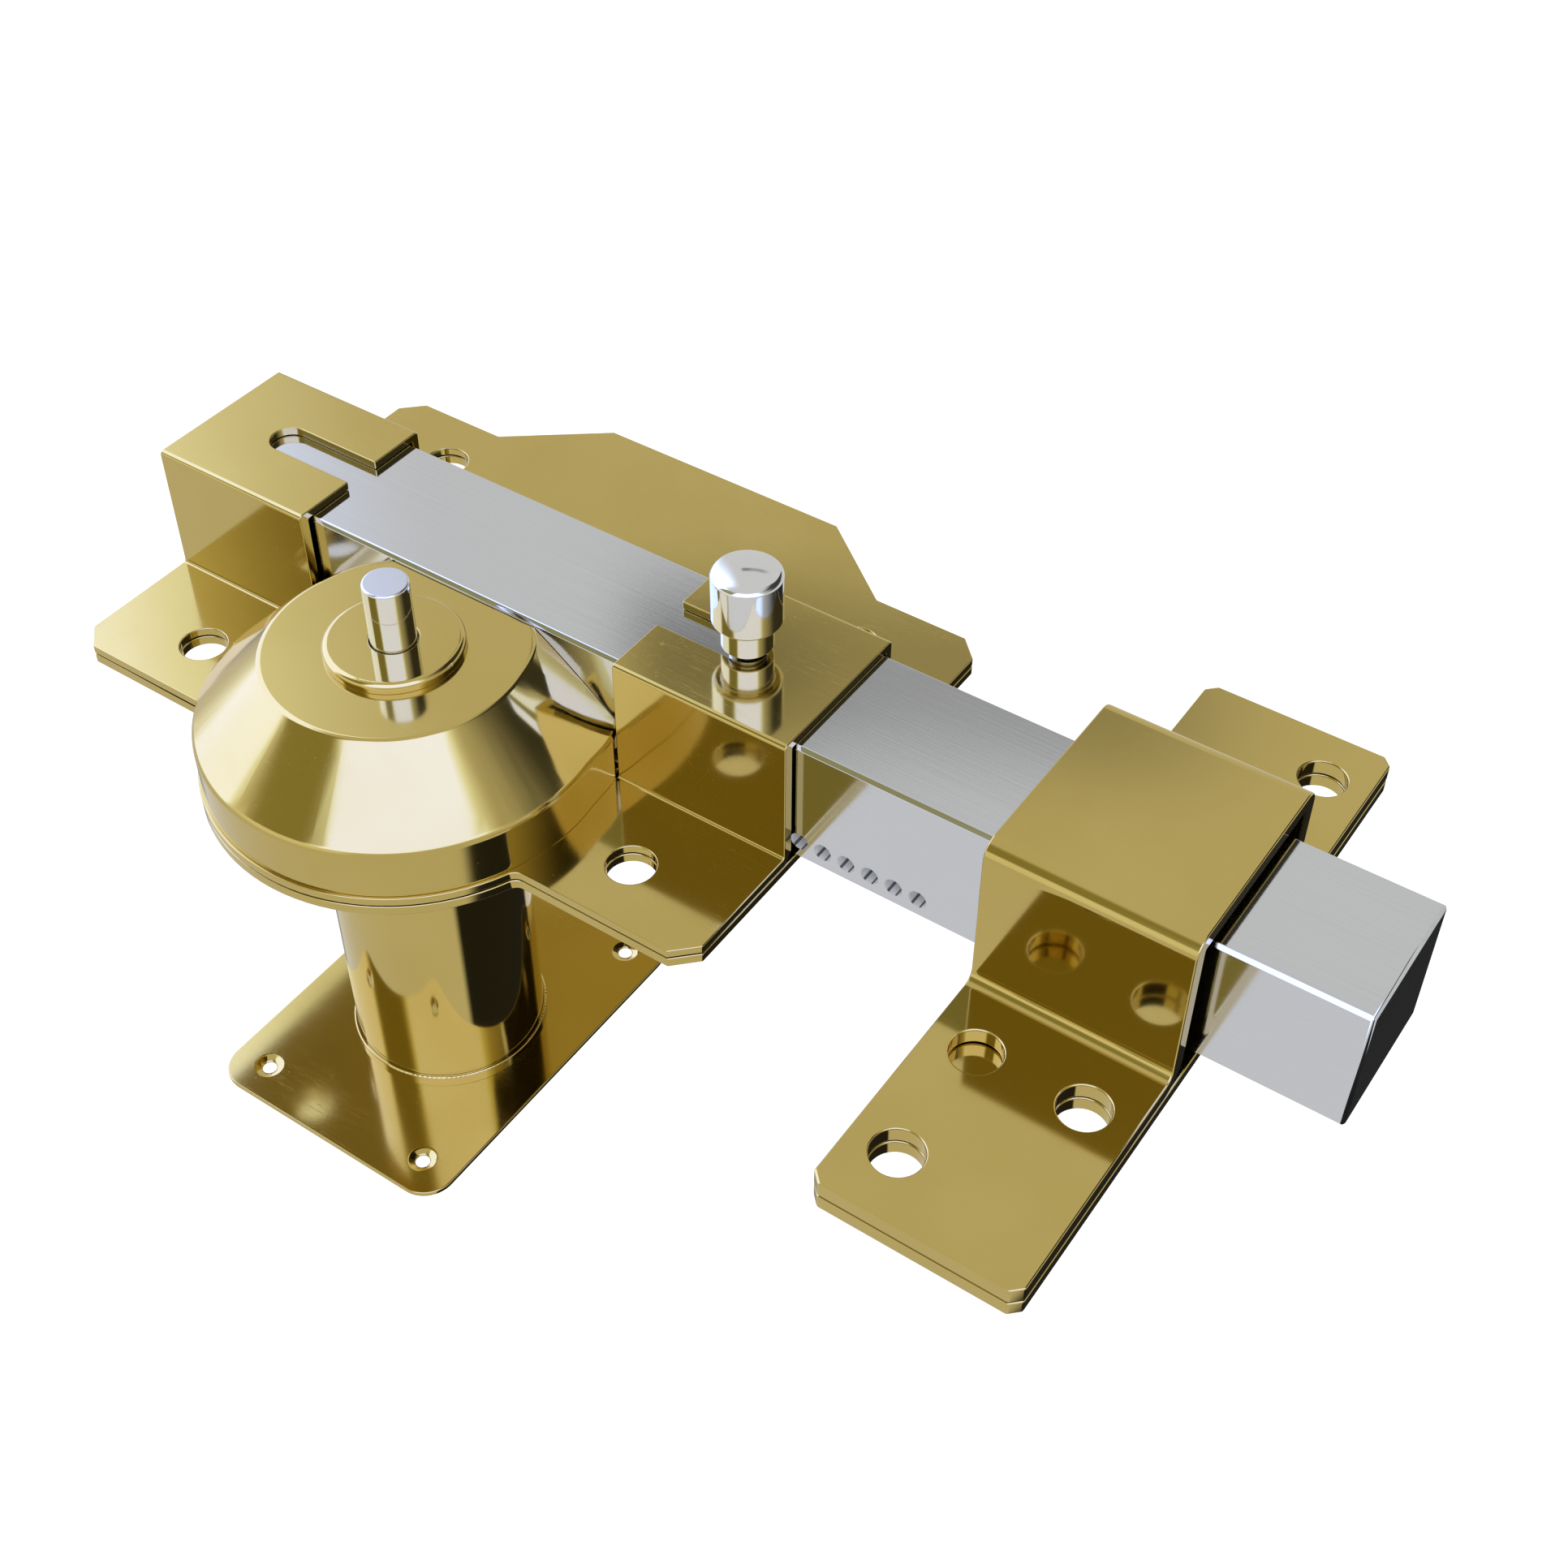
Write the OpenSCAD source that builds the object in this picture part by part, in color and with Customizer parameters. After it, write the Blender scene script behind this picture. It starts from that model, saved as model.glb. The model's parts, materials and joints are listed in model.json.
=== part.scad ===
// Surface-mounted rack deadbolt: a square bolt runs through two folded guides and into a bridge
// striker, driven by a toothed wheel under a domed cover and a key cylinder through the door.
// Millimetres. X runs along the bolt to the striker, Y across the body, Z away from the door.
// The origin is on the cylinder's axis, in the plane of the door's inner face.

/* [Body plate] */
// Length of the body along the bolt
body_l = 128; // [120:1:150]
// Distance from the cylinder axis to the front edge of the wings
wing_front = 12; // [9:0.5:18]
// Distance from the cylinder axis to the rear edge of the wings
wing_rear = 73.6; // [68:0.2:80]
// Distance from the cylinder axis to the rear edge of the hump
hump_rear = 87; // [82:0.5:95]
// Width of the hump where it leaves the wings
hump_base_w = 84.6; // [70:0.2:96]
// Width of the hump along its rear edge
hump_top_w = 50.4; // [30:0.2:66]
// Cut across each corner of the wings
corner_cut = 3.8; // [2:0.1:6]
// Radius of the round lobe that carries the cover
lobe_r = 33.7; // [33.5:0.1:36]
// Radius in the corner between the lobe and the wings
lobe_fillet_r = 2; // [0.5:0.1:4]
// Thickness of the base plate
base_t = 2; // [1.5:0.1:3]
// Thickness of the folded housing sheet
sheet_t = 1.5; // [1:0.1:2]
// Radius of the four mounting screw holes
screw_r = 4; // [2.5:0.1:4.5]
// Distance between the screw holes along the bolt
screw_dx = 90.6; // [84:0.2:104]
// Distance between the screw holes across the bolt
screw_dy = 63; // [58:0.5:64]
// Place of the front screw holes across the bolt, from the cylinder axis
screw_front_y = -1; // [-3:0.1:1]

/* [Bolt] */
// Length of the bolt
bolt_l = 210; // [208:1:240]
// Width of the bolt
bolt_w = 25; // [20:0.5:28]
// Height of the bolt
bolt_h = 23.4; // [18:0.1:28]
// Bevel along the edges of the bolt
bolt_bevel = 0.6; // [0.2:0.1:1.2]
// Distance from the cylinder axis to the nose of the thrown bolt
bolt_reach = 155.5; // [150:0.5:160]
// How many teeth of the wheel the bolt travels
travel_teeth = 19; // [14:1:20]

/* [Guides] */
// Length of each guide
guide_l = 32; // [26:1:36]
// Gap between the bolt and the front wall of a guide
gap_front = 1; // [0.3:0.1:2]
// Gap between the bolt and the rear wall of a guide
gap_rear = 0.2; // [0.1:0.05:1]
// Gap above and below the bolt
gap_z = 0.1; // [0.05:0.05:0.5]
// Outer radius of the bends along the top of a guide
guide_bend_r = 0.8; // [0.3:0.1:1.5]
// Inner radius of the bend at the foot of a guide wall
guide_foot_r = 0.5; // [0.2:0.1:1.5]
// Width of the slots that the knob's stud passes along
slot_w = 6.6; // [6.2:0.1:9]
// Length of slot that is left beyond the stud when the bolt is drawn back
slot_spare = 14.45; // [2:0.05:16]

/* [Toothed wheel] */
// Distance between two teeth, and between two holes of the bolt
tooth_pitch = 4.25; // [4:0.01:4.4]
// Number of teeth of the wheel
wheel_teeth = 24; // [22:1:26]
// Thickness of the wheel
wheel_t = 2; // [1.6:0.1:2.2]
// Depth of the pitch circle inside the face of the bolt
mesh_depth = 0.434; // [0.3:0.01:0.6]
// How far a tooth reaches past the pitch circle
tooth_reach = 1.35; // [1:0.05:1.5]
// Width of a tooth at its tip
tooth_tip_w = 1.3; // [1:0.05:1.4]
// Width of a tooth at its root
tooth_root_w = 1.8; // [1.5:0.05:1.9]
// Gap between the body of the wheel and the face of the bolt
wheel_gap = 0.5; // [0.3:0.05:1]
// Radius of the holes in the face of the bolt
rack_hole_r = 1.55; // [1.5:0.01:1.7]
// Depth of the holes in the face of the bolt
rack_hole_depth = 6; // [3:0.5:10]
// Height of the holes above the bottom of the bolt
rack_z = 3.8; // [3.5:0.1:6]
// Place of the first hole past the cylinder axis
rack_lead = 1.25; // [0:0.05:4]

/* [Knob] */
// Place of the knob along the bolt, from the cylinder axis
knob_x = 46.8; // [44:0.1:50]
// Radius of the knob
knob_r = 5.6; // [5:0.1:9]
// Height of the knob's head
knob_h = 10; // [7:0.5:20]
// Rise of the knob's domed top
knob_crown = 0.7; // [0.3:0.1:1.5]
// Radius of the neck under the knob's head
neck_r = 4.13; // [3.6:0.01:4.6]
// Height of the neck
neck_h = 4.6; // [3:0.1:8]
// Gap between the neck and the top of the guide
neck_gap = 1.2; // [0.5:0.1:3]
// Radius of the knob's stud
stud_r = 2.9; // [2:0.1:2.95]
// Depth of the stud in the bolt
stud_depth = 9; // [6:0.5:12]

/* [Cover] */
// Radius of the cover at its foot
cover_r = 33.2; // [32.5:0.1:33.3]
// Height of the cover's straight band
cover_band_h = 8.9; // [6:0.1:12]
// Height of the cover
cover_h = 21.1; // [20:0.1:26]
// Radius of the cover's flat top
cover_top_r = 21; // [16:0.5:26]
// Thickness of the cover's sheet
cover_t = 1.2; // [0.8:0.1:1.5]
// Gap between the cover's flat side and the bolt
cover_gap = 0.35; // [0.3:0.05:3]
// Radius of the washer on top of the cover
washer_r = 11.15; // [8:0.05:13]
// Thickness of the washer
washer_t = 1.8; // [1:0.1:3]
// Radius of the washer's rounded upper edge
washer_edge_r = 1; // [0.3:0.1:1]

/* [Spindle] */
// Radius of the spindle where it leaves the cover
spindle_r = 3.76; // [3:0.01:3.9]
// Height of the spindle's end above the washer
spindle_stub = 11.1; // [6:0.1:20]
// Radius of the spindle's journal in the base plate
journal_r = 6; // [5.6:0.1:6.2]
// Running clearance of the spindle in its bushes
run_gap = 0.08; // [0.02:0.01:0.1]

/* [Key cylinder] */
// Depth from the door's inner face to the outer plate
door_t = 62.25; // [55:0.25:75]
// Outer radius of the sleeve through the door
sleeve_r = 16.8; // [16.4:0.1:18]
// Wall of the sleeve
sleeve_t = 1.2; // [0.8:0.1:1.2]
// Outer radius of the ring round the sleeve's foot
ring_r = 17.4; // [17.3:0.1:20]
// Height of the ring
ring_h = 1.3; // [0.8:0.1:3]
// Length of the cylinder behind the outer plate
cyl_l = 38; // [34:0.5:42]
// How far the cylinder's nose stands out of the outer plate
nose_out = 1; // [0.5:0.1:3]
// Radius of the key plug
plug_r = 6.5; // [6:0.1:7]
// Number of pin stacks
pin_n = 5; // [4:1:6]
// Distance between pin stacks
pin_pitch = 4; // [3.6:0.1:4.4]
// Radius of a pin
pin_r = 1.35; // [1:0.05:1.5]

/* [Outer plate] */
// Width of the outer plate along the bolt
plate_w = 50; // [44:0.5:60]
// Length of the outer plate across the bolt
plate_l = 70; // [64:0.5:90]
// Thickness of the outer plate
plate_t = 1; // [0.9:0.1:2]
// Radius of the outer plate's corners
plate_corner_r = 5.5; // [2:0.1:8]
// Distance between the plate's screw holes along the bolt
plate_dx = 35.8; // [30:0.1:38]
// Distance between the plate's screw holes across the bolt
plate_dy = 57.4; // [50:0.1:58]
// Radius of the plate's screw holes
plate_hole_r = 1.25; // [1:0.05:2]
// Radius of the countersinks round those holes
plate_sink_r = 2.7; // [2.2:0.05:3.2]

/* [Striker] */
// Place of the striker's middle along the bolt
strike_x = 115.85; // [108:0.05:120]
// Width of the striker along the bolt
strike_w = 33; // [28:0.5:40]
// Reach of the striker to the front, from the middle of the bolt
strike_front = 61.5; // [58:0.1:75]
// Reach of the striker to the rear, from the middle of the bolt
strike_rear = 59.4; // [56:0.1:75]
// Thickness of the striker's plate and bridge
strike_t = 2.8; // [2:0.1:3.5]
// Cut across each corner of the striker
strike_cut = 1.6; // [0.5:0.1:4]
// Gap between the bolt and the sides of the bridge
bridge_gap = 3.35; // [1:0.05:4]
// Gap between the bolt and the top of the bridge
bridge_gap_z = 2.1; // [1:0.1:4]
// Outer radius of the bends along the top of the bridge
bridge_bend_r = 3; // [3:0.1:5]
// Inner radius of the bends at the bridge's feet
bridge_foot_r = 1.9; // [0.5:0.1:3]
// Radius of the striker's holes
strike_hole_r = 4; // [2.5:0.1:4.5]
// Distance between the two columns of holes
strike_hole_dx = 17.4; // [14:0.1:19]
// Distance from an end of the striker to its outer hole
strike_hole_end = 10.35; // [8:0.05:12]
// Distance between the rows of holes on one foot
strike_hole_dy = 21.05; // [16:0.05:22]

/* [Hidden] */
$fn = 64;

// Colours of the finishes
brass_col = "#b8a352";
steel_col = "#c2c5ca";
chrome_col = "#d4d6da";
dark_steel_col = "#8d9096";

// Small shared clearances: a seat between two fixed pieces, and a cut that runs past a face
seat = 0.05;
past = 1;

// Heights
flange_top = base_t + sheet_t;
bolt_z = base_t + gap_z;
bolt_top = bolt_z + bolt_h;
guide_inner_top = bolt_top + gap_z;
guide_top = guide_inner_top + sheet_t;
rack_height = bolt_z + rack_z;
// Length of a drilled hole's pointed end, as a share of its radius
drill_tip = 0.6;

// The wheel's pitch circle sets how far the bolt lies from the cylinder axis
pitch_r = wheel_teeth * tooth_pitch / (2 * PI);
bolt_front = pitch_r - mesh_depth;
bolt_y = bolt_front + bolt_w / 2;
bolt_rear = bolt_front + bolt_w;
travel = travel_teeth * tooth_pitch;
guide_y0 = bolt_front - gap_front - sheet_t;
guide_y1 = bolt_rear + gap_rear + sheet_t;

// Knob and stud
neck_z = guide_top + neck_gap;
head_z = neck_z + neck_h;
knob_edge = 0.5;
socket_top = head_z + knob_h * 0.4;
stud_tip = 0.4;
stud_spare = 0.2;

// Cover, washer and spindle
cover_flat_y = bolt_front - cover_gap;
cover_top = flange_top + cover_h;
washer_top = cover_top + washer_t;
spindle_top = washer_top + spindle_stub;
spindle_end_r = 0.4;
spindle_mark_z = spindle_top - spindle_stub / 2;
spindle_mark = 0.12;
spindle_relief = 0.06;
spindle_stub_r = spindle_r - spindle_relief;
washer_neck_r = 6.5;
washer_neck_h = 0.6;
washer_bore_edge = 0.3;
wheel_z = rack_height - wheel_t / 2;
wheel_r = bolt_front - wheel_gap;
wheel_square = 8.2;
wheel_hole_r = 2.2;
wheel_hole_at = wheel_r * 0.68;
tooth_tip_cut = 0.4;
nut_h = 4.5;
nut_flats = 13;
bush_r = 7.3;
bush_flange_r = 8.2;
bush_gap = 0.15;
rivet_r = 1.5;
rivet_head_h = 1.2;
rivet_dome_r = 2.8;
rivet_sink_r = 2.7;
rivet_at = cover_r - 6.2;
rivet_angles = [210, 270, 330];
tab_w = 8;
tab_l = 9.5;
notch_gap = 1.2;
circlip_t = 0.8;
circlip_r = 6;
circlip_gap = 3;
groove_r = spindle_r - 0.5;
circlip_z = cover_top - cover_t - washer_neck_h - bush_gap - circlip_t;

// Key cylinder, measured down from the door's inner face
plate_top = -door_t;
nose_z = plate_top - plate_t - nose_out;
cyl_back = plate_top + cyl_l;
sleeve_inner_r = sleeve_r - sleeve_t;
cyl_r = sleeve_inner_r - 0.1;
nose_r = cyl_r - 1.5;
plug_head_r = plug_r + 1;
plug_head_h = 1.2;
clip_t = 0.8;
clip_r = plug_r + 1.6;
clip_groove_r = plug_r - 0.9;
clip_gap = 4;
plug_back = cyl_back + bush_gap + clip_t + 1.6;
tail_w = 8;
tail_t = 1.8;
tail_in_plug = 4;
spindle_foot = -14;
spindle_slot = 12;
tail_spare = 2;
tail_top = spindle_foot + spindle_slot - tail_spare;
chamber_r = pin_r + 0.1;
pin_z0 = plate_top + 5.5;
pin_top_y = sqrt(plug_r * plug_r - chamber_r * chamber_r) - 0.06;
driver_y = plug_r + 0.12;
driver_l = 3.4;
spring_coil_r = pin_r - 0.35;
spring_wire_r = 0.2;
spring_turns = 5;
strip_w = 3.6;
strip_y = cyl_r - 1.6;
key_pin_l = [4.2, 5, 3.6, 4.6, 3.9, 4.4];
key_pin_tip = 0.7;
keyway_w = 1.8;
keyway_low = -4.6;
keyway_high = 3.6;
cyl_screw_r = 2;
cyl_screw_at = 12.3;
cyl_screw_head_r = 3.5;
cyl_screw_head_h = cyl_screw_head_r - cyl_screw_r;
cyl_screw_bite = 10;
cyl_screw_slot = 0.8;

// Striker: the plate lies in the frame, its upper face in the plane of the door
bridge_y0 = bolt_front - bridge_gap - strike_t;
bridge_y1 = bolt_rear + bridge_gap + strike_t;
bridge_inner_top = bolt_top + bridge_gap_z;
bridge_top = bridge_inner_top + strike_t;
strike_y0 = bolt_y - strike_front;
strike_y1 = bolt_y + strike_rear;
strike_x0 = strike_x - strike_w / 2;
strike_x1 = strike_x + strike_w / 2;
hole_x0 = strike_x - strike_hole_dx / 2;
hole_x1 = strike_x + strike_hole_dx / 2;
outer_row0 = strike_y0 + strike_hole_end;
inner_row0 = outer_row0 + strike_hole_dy;
outer_row1 = strike_y1 - strike_hole_end;
inner_row1 = outer_row1 - strike_hole_dy;

// A rectangle between two corners
module box2d(x0, y0, x1, y1) {
    translate([x0, y0]) square([x1 - x0, y1 - y0]);
}

// A rectangle with its four corners cut off
module cut_rectangle(x0, y0, x1, y1, cut) {
    polygon([[x0 + cut, y0], [x1 - cut, y0], [x1, y0 + cut], [x1, y1 - cut],
             [x1 - cut, y1], [x0 + cut, y1], [x0, y1 - cut], [x0, y0 + cut]]);
}

// An arch in the YZ plane: straight sides and two round upper corners
module arch2d(y0, y1, z0, z1, r) {
    box2d(y0, z0, y1, z1 - r);
    box2d(y0 + r, z0, y1 - r, z1);
    for (y = [y0 + r, y1 - r]) translate([y, z1 - r]) circle(r);
}

// The filling of a square corner by a fillet of radius r; dir is -1 or 1 along the first axis
module corner_fillet(at, r, dir) {
    translate(at) difference() {
        box2d(min(0, dir * r), 0, max(0, dir * r), r);
        translate([dir * r, r]) circle(r);
    }
}

// Lays a YZ profile along X from x0 for length l
module along_x(x0, l) {
    translate([x0, 0, 0]) rotate([90, 0, 90]) linear_extrude(l) children();
}

// Its children, and their mirror image at the other end of the body
module both_ends() {
    children();
    mirror([1, 0, 0]) children();
}

// Places its children at the four mounting screws of the body
module at_body_screws() {
    for (x = [-screw_dx / 2, screw_dx / 2], y = [screw_front_y, screw_front_y + screw_dy])
        translate([x, y, 0]) children();
}

// Places its children at the rivets that hold the cover
module at_rivets() {
    for (a = rivet_angles) rotate(a) translate([rivet_at, 0, 0]) children();
}

// Places its children at the two long screws that hold the cylinder
module at_cylinder_screws() {
    for (x = [-cyl_screw_at, cyl_screw_at]) translate([x, 0, 0]) children();
}

// Places its children at each pin stack, with Z turned to run out along the stack
module at_pins() {
    for (i = [0 : pin_n - 1]) translate([0, 0, pin_z0 + i * pin_pitch]) rotate([-90, 0, 0]) children();
}

// Wings and rear hump of the body
module wings_outline() {
    x1 = body_l / 2;
    polygon([[corner_cut - x1, -wing_front], [x1 - corner_cut, -wing_front], [x1, corner_cut - wing_front],
             [x1, wing_rear - corner_cut], [x1 - corner_cut, wing_rear],
             [hump_base_w / 2, wing_rear], [hump_top_w / 2, hump_rear],
             [-hump_top_w / 2, hump_rear], [-hump_base_w / 2, wing_rear],
             [corner_cut - x1, wing_rear], [-x1, wing_rear - corner_cut], [-x1, corner_cut - wing_front]]);
}

// The fillet on one side of the front lobe, lapped into the lobe and the wing
module lobe_fillet(side) {
    fillet_x = sqrt(pow(lobe_r + lobe_fillet_r, 2) - pow(wing_front + lobe_fillet_r, 2));
    touch = lobe_r / (lobe_r + lobe_fillet_r);
    difference() {
        polygon([[side * lobe_r / 2, past - wing_front], [side * fillet_x, past - wing_front],
                 [side * fillet_x, -wing_front],
                 [side * fillet_x * touch, -(wing_front + lobe_fillet_r) * touch]]);
        translate([side * fillet_x, -wing_front - lobe_fillet_r]) circle(lobe_fillet_r);
    }
}

// A sheet of the body's outline, thickness t
module body_sheet(t) {
    linear_extrude(t) wings_outline();
    cylinder(r = lobe_r, h = t);
    for (side = [-1, 1]) linear_extrude(t) lobe_fillet(side);
}

module base_plate() {
    color(brass_col) difference() {
        body_sheet(base_t);
        translate([0, 0, -past]) {
            cylinder(r = bush_r + seat, h = base_t + 2 * past);
            at_body_screws() cylinder(r = screw_r, h = base_t + 2 * past);
            at_cylinder_screws() cylinder(r = cyl_screw_r + seat, h = base_t + 2 * past);
            at_rivets() cylinder(r = rivet_r + seat, h = base_t + 2 * past);
        }
        at_rivets() cylinder(r1 = rivet_sink_r + seat, r2 = rivet_r + seat, h = rivet_sink_r - rivet_r);
    }
}

// The folded sheet: flange and two guides in one piece, with the channel that the bolt runs in
module guide_housing() {
    under_r = guide_foot_r + sheet_t;
    guide_x = body_l / 2 - guide_l;
    color(brass_col) difference() {
        union() {
            translate([0, 0, base_t]) body_sheet(sheet_t);
            both_ends() along_x(guide_x, guide_l) {
                arch2d(guide_y0, guide_y1, base_t, guide_top, guide_bend_r);
                corner_fillet([guide_y0, flange_top], guide_foot_r, -1);
                corner_fillet([guide_y1, flange_top], guide_foot_r, 1);
            }
        }
        along_x(-body_l / 2 - past, body_l + 2 * past)
            box2d(guide_y0 + sheet_t, base_t - past, guide_y1 - sheet_t, guide_inner_top);
        both_ends() along_x(guide_x, guide_l + past) {
            corner_fillet([guide_y0 + sheet_t, base_t], under_r, -1);
            corner_fillet([guide_y1 - sheet_t, base_t], under_r, 1);
        }
        translate([0, bolt_y, guide_inner_top - past]) {
            stud_slot(knob_x - travel - slot_spare, 0);
            stud_slot(0, knob_x);
        }
        translate([0, 0, base_t - past]) {
            cylinder(r = bush_r + seat, h = sheet_t + 2 * past);
            at_body_screws() cylinder(r = screw_r, h = sheet_t + 2 * past);
            at_rivets() cylinder(r = rivet_r + seat, h = sheet_t + 2 * past);
            at_cylinder_screws() cylinder(r = cyl_screw_r + seat, h = sheet_t + 2 * past);
        }
        at_cylinder_screws() translate([0, 0, flange_top - cyl_screw_head_h])
            cylinder(r1 = cyl_screw_r + seat, r2 = cyl_screw_head_r + seat, h = cyl_screw_head_h);
    }
}

// A slot with round ends centred on x0 and x1
module stud_slot(x0, x1) {
    linear_extrude(sheet_t + 2 * past) {
        box2d(x0, -slot_w / 2, x1, slot_w / 2);
        for (x = [x0, x1]) translate([x, 0]) circle(slot_w / 2);
    }
}

// Solid inside the cover's outer surface, drawn in by t
module cover_form(t) {
    slant = atan2(cover_h - cover_band_h, cover_r - cover_top_r);
    drop = t * tan(slant / 2);
    intersection() {
        translate([0, 0, flange_top]) rotate_extrude()
            polygon([[0, -past * (t > 0 ? 1 : 0)], [cover_r - t, -past * (t > 0 ? 1 : 0)],
                     [cover_r - t, cover_band_h - drop], [cover_top_r - t * tan(slant / 2), cover_h - t],
                     [0, cover_h - t]]);
        translate([-cover_r, -cover_r, flange_top - past])
            cube([2 * cover_r, cover_r + cover_flat_y - t, cover_h + 2 * past]);
    }
}

// The pressed cover, with three inward tabs for its rivets and a notch for the wheel
module dome_cover() {
    notch_w = 2 * (sqrt(pow(pitch_r + tooth_reach, 2) - pow(cover_flat_y - cover_t, 2)) + notch_gap);
    notch_top = wheel_z + wheel_t + notch_gap;
    color(brass_col) difference() {
        union() {
            difference() {
                cover_form(0);
                cover_form(cover_t);
            }
            for (a = rivet_angles) rotate(a)
                translate([cover_r - cover_t / 2 - tab_l, -tab_w / 2, flange_top])
                    cube([tab_l, tab_w, cover_t]);
        }
        translate([0, 0, cover_top - cover_t - past])
            cylinder(r = washer_neck_r + seat, h = cover_t + 2 * past);
        translate([0, 0, flange_top - past]) at_rivets()
            cylinder(r = rivet_r + seat, h = cover_t + 2 * past);
        translate([-notch_w / 2, cover_flat_y - cover_t - past, flange_top - past])
            cube([notch_w, cover_t + 2 * past, notch_top - flange_top + past]);
    }
}

module cover_rivets() {
    color(brass_col) at_rivets() {
        cylinder(r1 = rivet_sink_r, r2 = rivet_r, h = rivet_sink_r - rivet_r);
        cylinder(r = rivet_r, h = flange_top + cover_t);
        translate([0, 0, flange_top + cover_t]) rotate_extrude() intersection() {
            translate([0, rivet_head_h - rivet_dome_r]) circle(rivet_dome_r);
            box2d(0, 0, rivet_dome_r, rivet_head_h);
        }
    }
}

// The bushed washer: a round-edged disc with a short neck in the cover's top
module dome_washer() {
    bore = spindle_r + run_gap;
    rim = bore + washer_bore_edge;
    color(brass_col) translate([0, 0, cover_top]) rotate_extrude() {
        box2d(rim, 0, washer_r - washer_edge_r, washer_t);
        box2d(rim, 0, washer_r, washer_t - washer_edge_r);
        intersection() {
            translate([washer_r - washer_edge_r, washer_t - washer_edge_r]) circle(washer_edge_r);
            box2d(0, 0, washer_r, washer_t);
        }
        box2d(bore, 0, rim, washer_t - washer_bore_edge);
        translate([rim, washer_t - washer_bore_edge]) circle(washer_bore_edge);
        box2d(bore, -cover_t - washer_neck_h, washer_neck_r, 0);
    }
}

module spindle_bush() {
    bush_top = wheel_z - bush_gap;
    color("#a98f45") rotate_extrude() {
        box2d(journal_r + run_gap, 0, bush_r, bush_top);
        box2d(journal_r + run_gap, flange_top, bush_flange_r, bush_top);
    }
}

// The square bolt: bevelled edges, a row of blind holes in its front face and a tapped hole on top
module bolt_bar() {
    b = bolt_bevel;
    color(steel_col) difference() {
        intersection() {
            along_x(bolt_reach - bolt_l, bolt_l) cut_rectangle(bolt_front, bolt_z, bolt_rear, bolt_top, b);
            translate([0, 0, bolt_z - past]) linear_extrude(bolt_h + 2 * past)
                cut_rectangle(bolt_reach - bolt_l, bolt_front, bolt_reach, bolt_rear, b);
            translate([0, bolt_front - past, 0]) rotate([90, 0, 0]) mirror([0, 0, 1])
                linear_extrude(bolt_w + 2 * past)
                    cut_rectangle(bolt_reach - bolt_l, bolt_z, bolt_reach, bolt_top, b);
        }
        for (i = [-2 : travel_teeth + 1])
            translate([rack_lead + i * tooth_pitch, bolt_front, rack_height]) rotate([-90, 0, 0]) {
                translate([0, 0, -past]) cylinder(r = rack_hole_r, h = rack_hole_depth + past);
                translate([0, 0, rack_hole_depth])
                    cylinder(r1 = rack_hole_r, r2 = 0, h = drill_tip * rack_hole_r);
            }
        translate([knob_x, bolt_y, bolt_top - stud_depth - past])
            cylinder(r = stud_r + seat, h = stud_depth + 2 * past);
    }
}

// The round knob: a neck, an undercut and a head with a slightly domed top
module knob() {
    rim_r = knob_r - knob_edge;
    crown_r = (pow(rim_r, 2) + pow(knob_crown, 2)) / (2 * knob_crown);
    side_top = head_z + knob_h - knob_crown - knob_edge;
    color(chrome_col) translate([knob_x, bolt_y, 0]) difference() {
        union() {
            translate([0, 0, neck_z]) cylinder(r = neck_r, h = neck_h);
            translate([0, 0, head_z]) cylinder(r1 = rim_r, r2 = knob_r, h = knob_edge);
            translate([0, 0, head_z + knob_edge]) cylinder(r = knob_r, h = side_top - head_z - knob_edge);
            translate([0, 0, side_top]) cylinder(r1 = knob_r, r2 = rim_r, h = knob_edge);
            translate([0, 0, head_z + knob_h - crown_r]) rotate_extrude() intersection() {
                circle(crown_r, $fn = 256);
                box2d(0, crown_r - knob_crown, knob_r, crown_r);
            }
        }
        translate([0, 0, neck_z - past]) cylinder(r = stud_r + seat, h = socket_top - neck_z + past);
    }
}

module knob_stud() {
    stud_z = bolt_top - stud_depth;
    color(dark_steel_col) translate([knob_x, bolt_y, stud_z]) {
        cylinder(r1 = stud_r - stud_tip, r2 = stud_r, h = stud_tip);
        translate([0, 0, stud_tip]) cylinder(r = stud_r, h = socket_top - stud_spare - stud_z - stud_tip);
    }
}

// The ring that a groove takes away from a shaft of radius outer, down to radius inner
module ring_cut(outer, inner, z, h) {
    translate([0, 0, z]) difference() {
        cylinder(r = outer + past, h = h);
        translate([0, 0, -past]) cylinder(r = inner, h = h + 2 * past);
    }
}

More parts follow.
